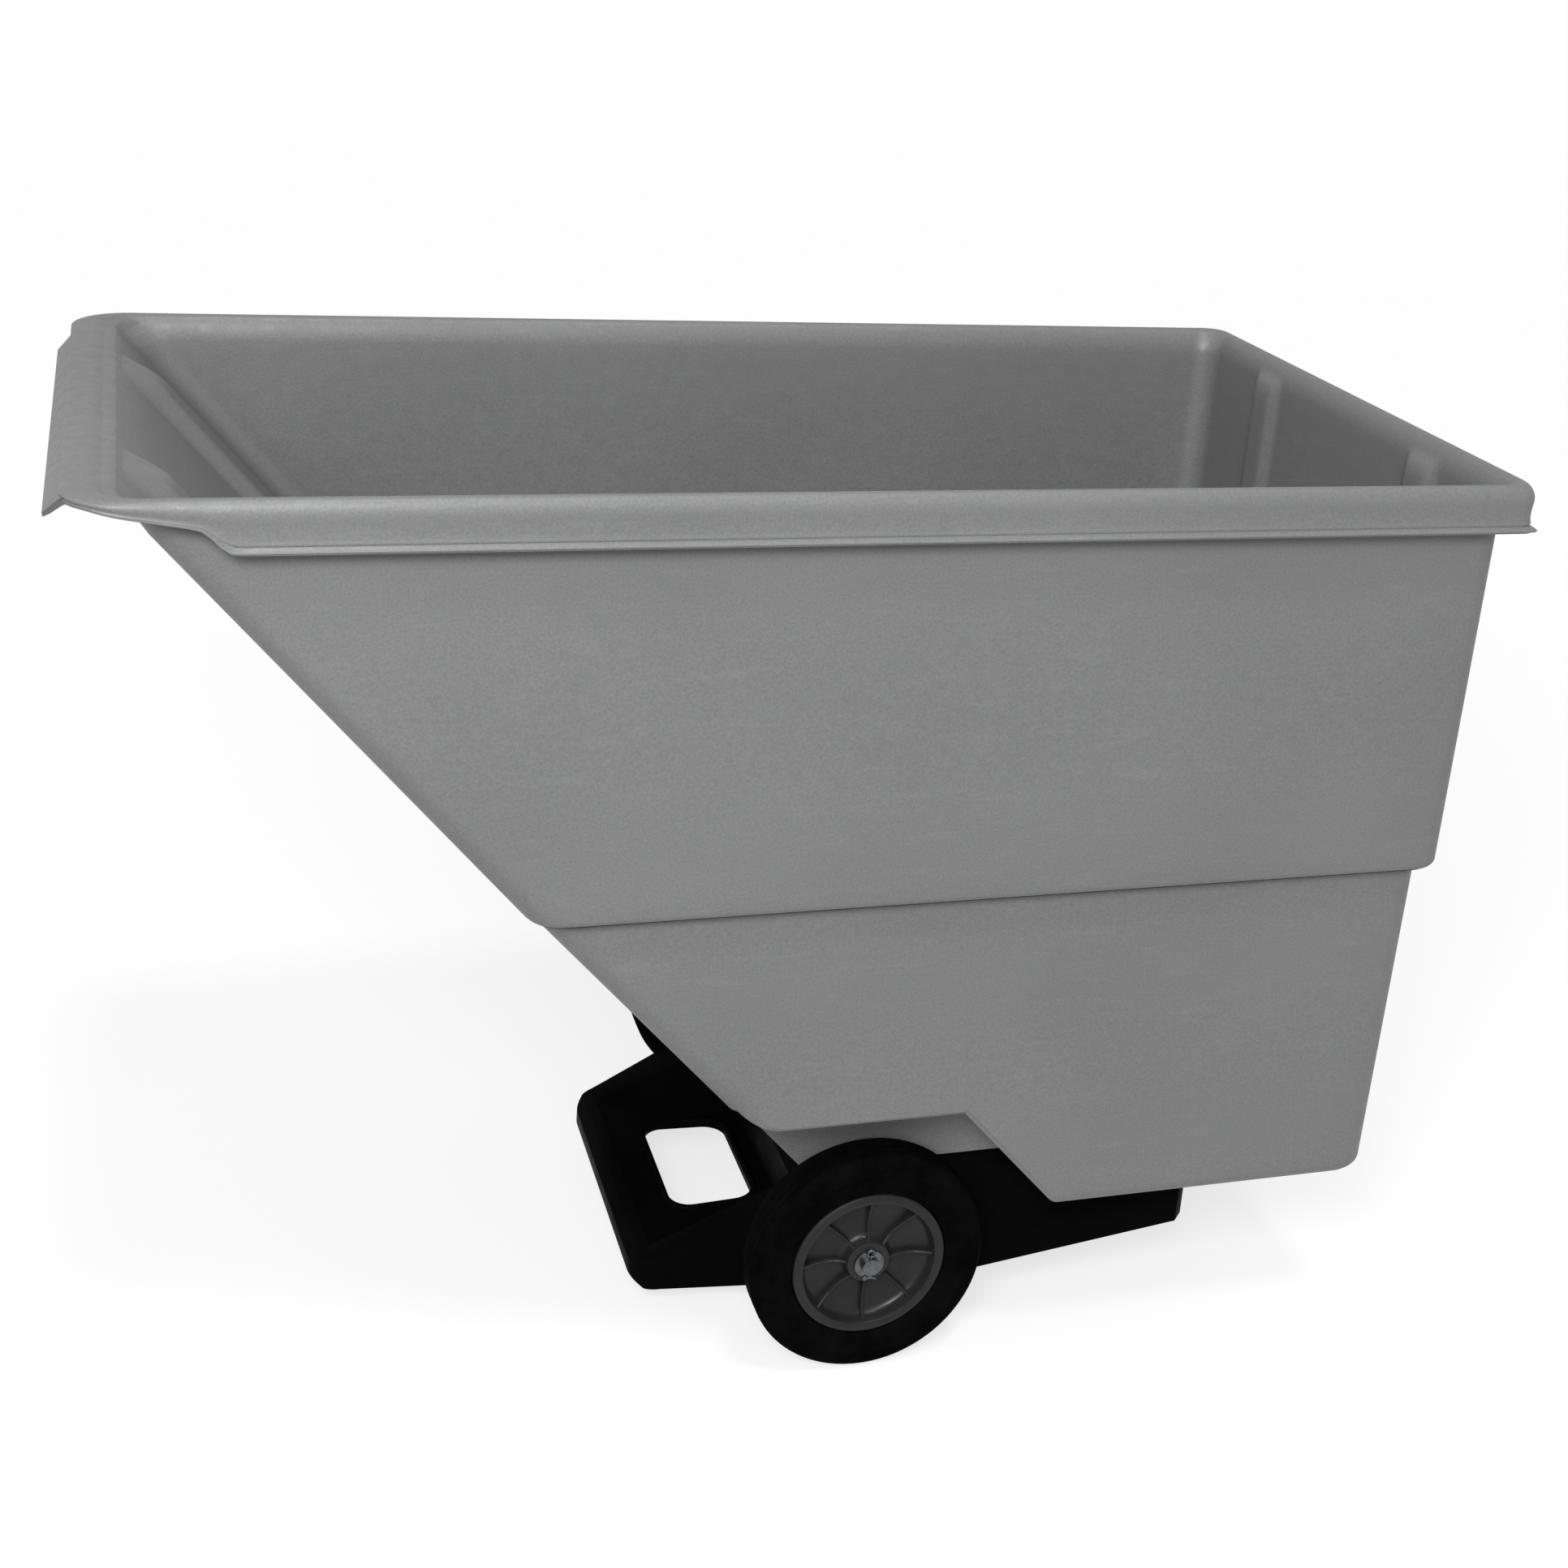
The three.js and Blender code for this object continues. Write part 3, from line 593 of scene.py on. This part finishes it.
def make_base():
    """The hollowed base with its webs, axle housing, caster pad and window."""
    base = base_block("base_moulding", 0)
    round_edges(base, 4.5, 3, 25)
    combine(base, base_block("hollow", BASE_WALL), "DIFFERENCE")
    solids = [base_web(side * WEB_Y) for side in (-1, 1)]
    solids += [rod("y", 24, 60, 0, side * 226, WHEEL_R, 48) for side in (-1, 1)]
    solids += [rod("y", 19, 480, 0, 0, WHEEL_R, 48), bar(-4, 4, -246, 246, WHEEL_R, 210)]
    solids += [bar(270, BASE_REAR - 3, -WEB_Y, WEB_Y, 102, 114)]
    join(base, solids)
    carve(base, [prism_z(window_outline(0), 0, 120), rod("y", 9.9, 600, 0, 0, WHEEL_R, 48)])
    join(base, [window_bead()])
    carve(base, bolt_holes())
    return base


# ---- wheels ----
def tyre_profile():
    """Bead, bulging sidewall with a raised ring, and a tread with four grooves."""
    half = [(HUB_R + 3.3, 19), (HUB_R + 4.5, 21.5), (88, 23), (94, 24.4), (101, 25.3), (106, 25.5)]
    half += [(107, 26.1), (109, 26.1), (110, 25.4), (114, 25), (118.5, 24.2), (121.5, 22.8), (124, 20.6)]
    half += [(125.6, 18.6)]
    for middle in (15.2, 5.3):
        half += [(126.6, middle + 1.3), (124, middle + 0.9), (124, middle - 0.9), (126.9, middle - 1.3)]
    half += [(WHEEL_R, 0.0)]
    return half + [(r, -h) for r, h in reversed(half[:-1])]


def hub_profile(side):
    """Rim, dished web and boss, and the plainer back."""
    outer = [(HUB_R + 3, 19.5), (HUB_R + 2.4, 21.6), (HUB_R + 0.5, 22.9), (77, 23.3), (74.5, 23.2)]
    outer += [(72.6, 22.4), (71.6, 20.6), (70.6, 15), (69.4, 11.2), (67.2, 8.6), (64, 7.2), (58, 5.8)]
    outer += [(50, 4.8), (42, 4.6), (34, 5.2), (29, 6.4), (26, 8.6), (24.4, 12), (23.6, 16.6)]
    outer += [(22.8, 18.6), (21, 19.6), (18, 20), (13.3, 20)]
    inner = [(13.3, -32), (21, -32), (22.4, -30.8), (23, -12), (40, -7), (62, -6.2), (67, -8), (70, -19)]
    inner += [(HUB_R + 3, -19.5)]
    return [(r, h * side) for r, h in outer + inner]


def hub_rib(side, angle, y):
    """One of the web's ribs, its top edge sagging between the boss and the rim."""
    rings = []
    for i in range(15):
        s = i / 14
        r = lerp(22.5, 71.2, s)
        top = lerp(16.5, 17.5, s) - 6.6 * math.sin(math.pi * s ** 0.85)
        section = [(-1.9, 0), (-1.5, top - 1), (-0.9, top - 0.2), (0, top)]
        section += [(0.9, top - 0.2), (1.5, top - 1), (1.9, 0)]
        ring = []
        for across, high in section:
            a = math.radians(angle) + across / r
            ring.append((r * math.cos(a), y + side * high, WHEEL_R + r * math.sin(a)))
        rings.append(ring)
    return skin(rings)


def make_hub(name, side):
    y = side * TRACK_HALF
    hub = new_object(name, lathe(hub_profile(side), y, WHEEL_R))
    join(hub, [hub_rib(side, 45 * i, y) for i in range(8)])
    return hub


def make_tyre(name, side):
    return new_object(name, lathe(tyre_profile(), side * TRACK_HALF, WHEEL_R, sides=128))


# ---- materials ----
def shader(name, color, roughness, metallic=0.0, specular=0.5, ior=1.5):
    """A material, its node tree and its surface shader."""
    material = bpy.data.materials.new(name)
    material.use_nodes = True
    tree = material.node_tree
    surface = tree.nodes["Principled BSDF"]
    surface.inputs["Base Color"].default_value = (*color, 1)
    surface.inputs["Roughness"].default_value = roughness
    surface.inputs["Metallic"].default_value = metallic
    surface.inputs["Specular IOR Level"].default_value = specular
    surface.inputs["IOR"].default_value = ior
    return material, tree, surface


def noise(tree, scale, detail, roughness=0.5, stretch=(1, 1, 1)):
    """Noise fixed to the object, in features per metre."""
    place = tree.nodes.new("ShaderNodeTexCoord")
    mapping = tree.nodes.new("ShaderNodeMapping")
    mapping.inputs["Scale"].default_value = stretch
    texture = tree.nodes.new("ShaderNodeTexNoise")
    texture.inputs["Scale"].default_value = scale
    texture.inputs["Detail"].default_value = detail
    texture.inputs["Roughness"].default_value = roughness
    tree.links.new(place.outputs["Object"], mapping.inputs["Vector"])
    tree.links.new(mapping.outputs["Vector"], texture.inputs["Vector"])
    return texture.outputs["Fac"]


def ramp(tree, source, low, high, dark, light):
    """A colour ramp from dark to light over a part of the source's range."""
    node = tree.nodes.new("ShaderNodeValToRGB")
    node.color_ramp.elements[0].position = low
    node.color_ramp.elements[1].position = high
    node.color_ramp.elements[0].color = (*dark, 1)
    node.color_ramp.elements[1].color = (*light, 1)
    tree.links.new(source, node.inputs["Fac"])
    return node.outputs["Color"]


def grey(value):
    return (value, value, value)


def multiply(tree, a, b):
    node = tree.nodes.new("ShaderNodeMix")
    node.data_type = "RGBA"
    node.blend_type = "MULTIPLY"
    node.inputs["Factor"].default_value = 1.0
    tree.links.new(a, node.inputs["A"])
    tree.links.new(b, node.inputs["B"])
    return node.outputs["Result"]


def uneven_gloss(tree, surface, scale, detail, glossy, dull, high=0.7):
    """Lets the roughness wander between two values."""
    wander = ramp(tree, noise(tree, scale, detail), 0.3, high, grey(glossy), grey(dull))
    tree.links.new(wander, surface.inputs["Roughness"])


def bump(tree, surface, layers):
    """Stacks bumps on a surface from (height source, strength, distance in mm) layers."""
    previous = None
    for source, strength, distance in layers:
        node = tree.nodes.new("ShaderNodeBump")
        node.inputs["Strength"].default_value = strength
        node.inputs["Distance"].default_value = distance * MM
        tree.links.new(source, node.inputs["Height"])
        if previous:
            tree.links.new(previous, node.inputs["Normal"])
        previous = node.outputs["Normal"]
    tree.links.new(previous, surface.inputs["Normal"])


def hopper_plastic():
    material, tree, surface = shader("hopper_plastic", (0.2, 0.202, 0.205), 0.5, specular=0.4)
    broad = ramp(tree, noise(tree, 3.2, 2), 0.3, 0.7, (0.079, 0.0795, 0.08), (0.0865, 0.087, 0.0875))
    speck = ramp(tree, noise(tree, 420, 1, 0.6), 0.25, 0.75, grey(0.87), grey(1.12))
    scuff = ramp(tree, noise(tree, 14, 3, 0.65, (1, 1, 6)), 0.56, 0.72, grey(1.0), grey(1.07))
    color = multiply(tree, multiply(tree, broad, speck), scuff)
    tree.links.new(color, surface.inputs["Base Color"])
    uneven_gloss(tree, surface, 60, 1, 0.44, 0.54)
    bump(tree, surface, [(noise(tree, 5, 0), 0.2, 2.0), (noise(tree, 420, 1), 0.4, 0.3)])
    return material


def base_plastic():
    material, tree, surface = shader("base_plastic", (0.0011, 0.0011, 0.0012), 0.34, ior=1.03)
    broad = ramp(tree, noise(tree, 6, 3), 0.3, 0.7, (0.0008, 0.0008, 0.0009), (0.0018, 0.0018, 0.0019))
    scratch = ramp(tree, noise(tree, 40, 4, 0.7, (1, 8, 8)), 0.62, 0.74, grey(1.0), grey(2.2))
    tree.links.new(multiply(tree, broad, scratch), surface.inputs["Base Color"])
    uneven_gloss(tree, surface, 30, 5, 0.28, 0.44, high=0.75)
    bump(tree, surface, [(noise(tree, 9, 2), 0.2, 1.5), (noise(tree, 420, 3), 0.25, 0.25)])
    return material


def tyre_rubber():
    material, tree, surface = shader("tyre_rubber", (0.0015, 0.0015, 0.0015), 0.5, ior=1.03)
    dust = ramp(tree, noise(tree, 24, 4, 0.65), 0.35, 0.8, (0.0009, 0.0009, 0.0009), (0.0026, 0.0026, 0.0025))
    tree.links.new(dust, surface.inputs["Base Color"])
    uneven_gloss(tree, surface, 50, 4, 0.52, 0.72)
    bump(tree, surface, [(noise(tree, 500, 4, 0.6), 0.35, 0.25)])
    return material


def hub_plastic():
    material, tree, surface = shader("hub_plastic", (0.009, 0.009, 0.0095), 0.3, ior=1.26)
    tone = ramp(tree, noise(tree, 30, 3), 0.3, 0.7, (0.006, 0.0062, 0.0065), (0.009, 0.0092, 0.0096))
    tree.links.new(tone, surface.inputs["Base Color"])
    uneven_gloss(tree, surface, 80, 4, 0.3, 0.42)
    bump(tree, surface, [(noise(tree, 600, 3), 0.2, 0.15)])
    return material


def zinc_plate():
    material, tree, surface = shader("zinc_plate", (0.5, 0.51, 0.52), 0.3, metallic=1.0)
    tone = ramp(tree, noise(tree, 90, 5), 0.3, 0.7, (0.08, 0.082, 0.085), (0.14, 0.142, 0.146))
    tree.links.new(tone, surface.inputs["Base Color"])
    uneven_gloss(tree, surface, 160, 4, 0.22, 0.4)
    bump(tree, surface, [(noise(tree, 700, 3), 0.15, 0.1)])
    return material


def nylon():
    material, tree, surface = shader("nylon", (0.62, 0.58, 0.48), 0.45)
    tone = ramp(tree, noise(tree, 60, 4), 0.3, 0.7, (0.56, 0.52, 0.43), (0.66, 0.62, 0.52))
    tree.links.new(tone, surface.inputs["Base Color"])
    bump(tree, surface, [(noise(tree, 400, 3), 0.2, 0.1)])
    return material


def caster_rubber():
    material, tree, surface = shader("caster_rubber", (0.01, 0.01, 0.01), 0.55, specular=0.4)
    tone = ramp(tree, noise(tree, 60, 5), 0.3, 0.7, (0.007, 0.007, 0.007), (0.018, 0.0178, 0.017))
    tree.links.new(tone, surface.inputs["Base Color"])
    bump(tree, surface, [(noise(tree, 500, 3), 0.3, 0.2)])
    return material


LOOKS = {
    "hopper_plastic": hopper_plastic(),
    "base_plastic": base_plastic(),
    "tyre_rubber": tyre_rubber(),
    "hub_plastic": hub_plastic(),
    "zinc": zinc_plate(),
    "nylon": nylon(),
    "caster_rubber": caster_rubber(),
}


def dress(obj, look, body, replaced, sharp=35.0):
    """Gives a new piece its material, shading, body and the CAD nodes it stands for."""
    obj.data.materials.clear()
    obj.data.materials.append(LOOKS[look])
    obj.data.shade_smooth()
    obj.data.set_sharp_from_angle(angle=math.radians(sharp))
    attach(obj, body)
    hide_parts(*replaced)


slots = {entry["node"]: entry["material_slot"] for entry in frame["record"]["subparts"]}


def nodes_of(slot):
    return [node for node, its_slot in slots.items() if its_slot == slot]


dress(make_hopper(), "hopper_plastic", "cart", nodes_of("hopper_plastic"), 38)
dress(make_base(), "base_plastic", "cart", nodes_of("base_plastic"))
for side, name in ((-1, "near_wheel"), (1, "far_wheel")):
    dress(make_hub(name + "_hub_fine", side), "hub_plastic", name, [name + "_hub"])
    dress(make_tyre(name + "_tyre_fine", side), "tyre_rubber", name, [name + "_tyre"])

# the small CAD pieces that show keep their shape and get a finish
for name, node in frame["nodes"].items():
    if not node.hide_render:
        node.data.materials.clear()
        node.data.materials.append(LOOKS[slots[name]])


# ---- floor, light and camera ----
def make_floor():
    bm = bmesh.new()
    bmesh.ops.create_grid(bm, x_segments=1, y_segments=1, size=200)
    floor = add_to_scene("floor", mesh_from("floor", bm))
    material, _, surface = shader("floor_paint", grey(0.15), 0.9, specular=0.1)
    surface.inputs["Emission Color"].default_value = (1, 1, 1, 1)
    surface.inputs["Emission Strength"].default_value = 0.72
    floor.data.materials.append(material)


def soft_light(name, azimuth, elevation, spread, strength):
    """A far lamp as wide as its spread in degrees."""
    light = bpy.data.lights.new(name, "SUN")
    light.angle = math.radians(spread)
    light.energy = strength
    towards = direction(azimuth, elevation)
    obj = add_to_scene(name, light)
    obj.rotation_euler = towards.to_track_quat("Z", "Y").to_euler()
    obj.location = towards * 4


def flash(name, place, target, size, power):
    """A near round lamp, which falls off with distance."""
    light = bpy.data.lights.new(name, "AREA")
    light.shape = "DISK"
    light.size = size
    light.energy = power
    obj = add_to_scene(name, light)
    obj.location = place
    obj.rotation_euler = (Vector(place) - Vector(target)).to_track_quat("Z", "Y").to_euler()


def make_world(strength):
    world = bpy.data.worlds.new("studio")
    bpy.context.scene.world = world
    world.use_nodes = True
    background = world.node_tree.nodes["Background"]
    background.inputs["Color"].default_value = (1, 1, 1, 1)
    background.inputs["Strength"].default_value = strength


# the camera: azimuth, elevation and roll in degrees, place in metres
VIEW_AZIMUTH, VIEW_ELEVATION, VIEW_ROLL = -18.677, 17.928, 4.749
CAMERA_PLACE = (AXLE_X * MM - 0.7194, -2.1982, 1.5396)
LENS = 51.674
LENS_SHIFT = (-0.0435, -0.1377)


def make_camera():
    r = math.radians(VIEW_ROLL)
    back = direction(VIEW_AZIMUTH, VIEW_ELEVATION)
    right = (-back).cross(Vector((0, 0, 1))).normalized()
    up = right.cross(-back)
    turned_right = math.cos(r) * right + math.sin(r) * up
    turned_up = -math.sin(r) * right + math.cos(r) * up
    data = bpy.data.cameras.new("camera")
    data.sensor_width = 36
    data.lens = LENS
    data.shift_x, data.shift_y = LENS_SHIFT
    camera = add_to_scene("camera", data)
    facing = Matrix((turned_right, turned_up, back)).transposed()
    camera.matrix_world = Matrix.Translation(CAMERA_PLACE) @ facing.to_4x4()
    bpy.context.scene.camera = camera


make_floor()
make_world(0.86)
soft_light("overhead", 8, 72, 9, 1.35)
soft_light("front", -31, 33, 30, 2.2)
flash("flash", (-0.9, -2.1, 2.1), (0.1, 0.0, 0.7), 0.8, 72)
make_camera()
bpy.context.scene.view_settings.view_transform = "Standard"
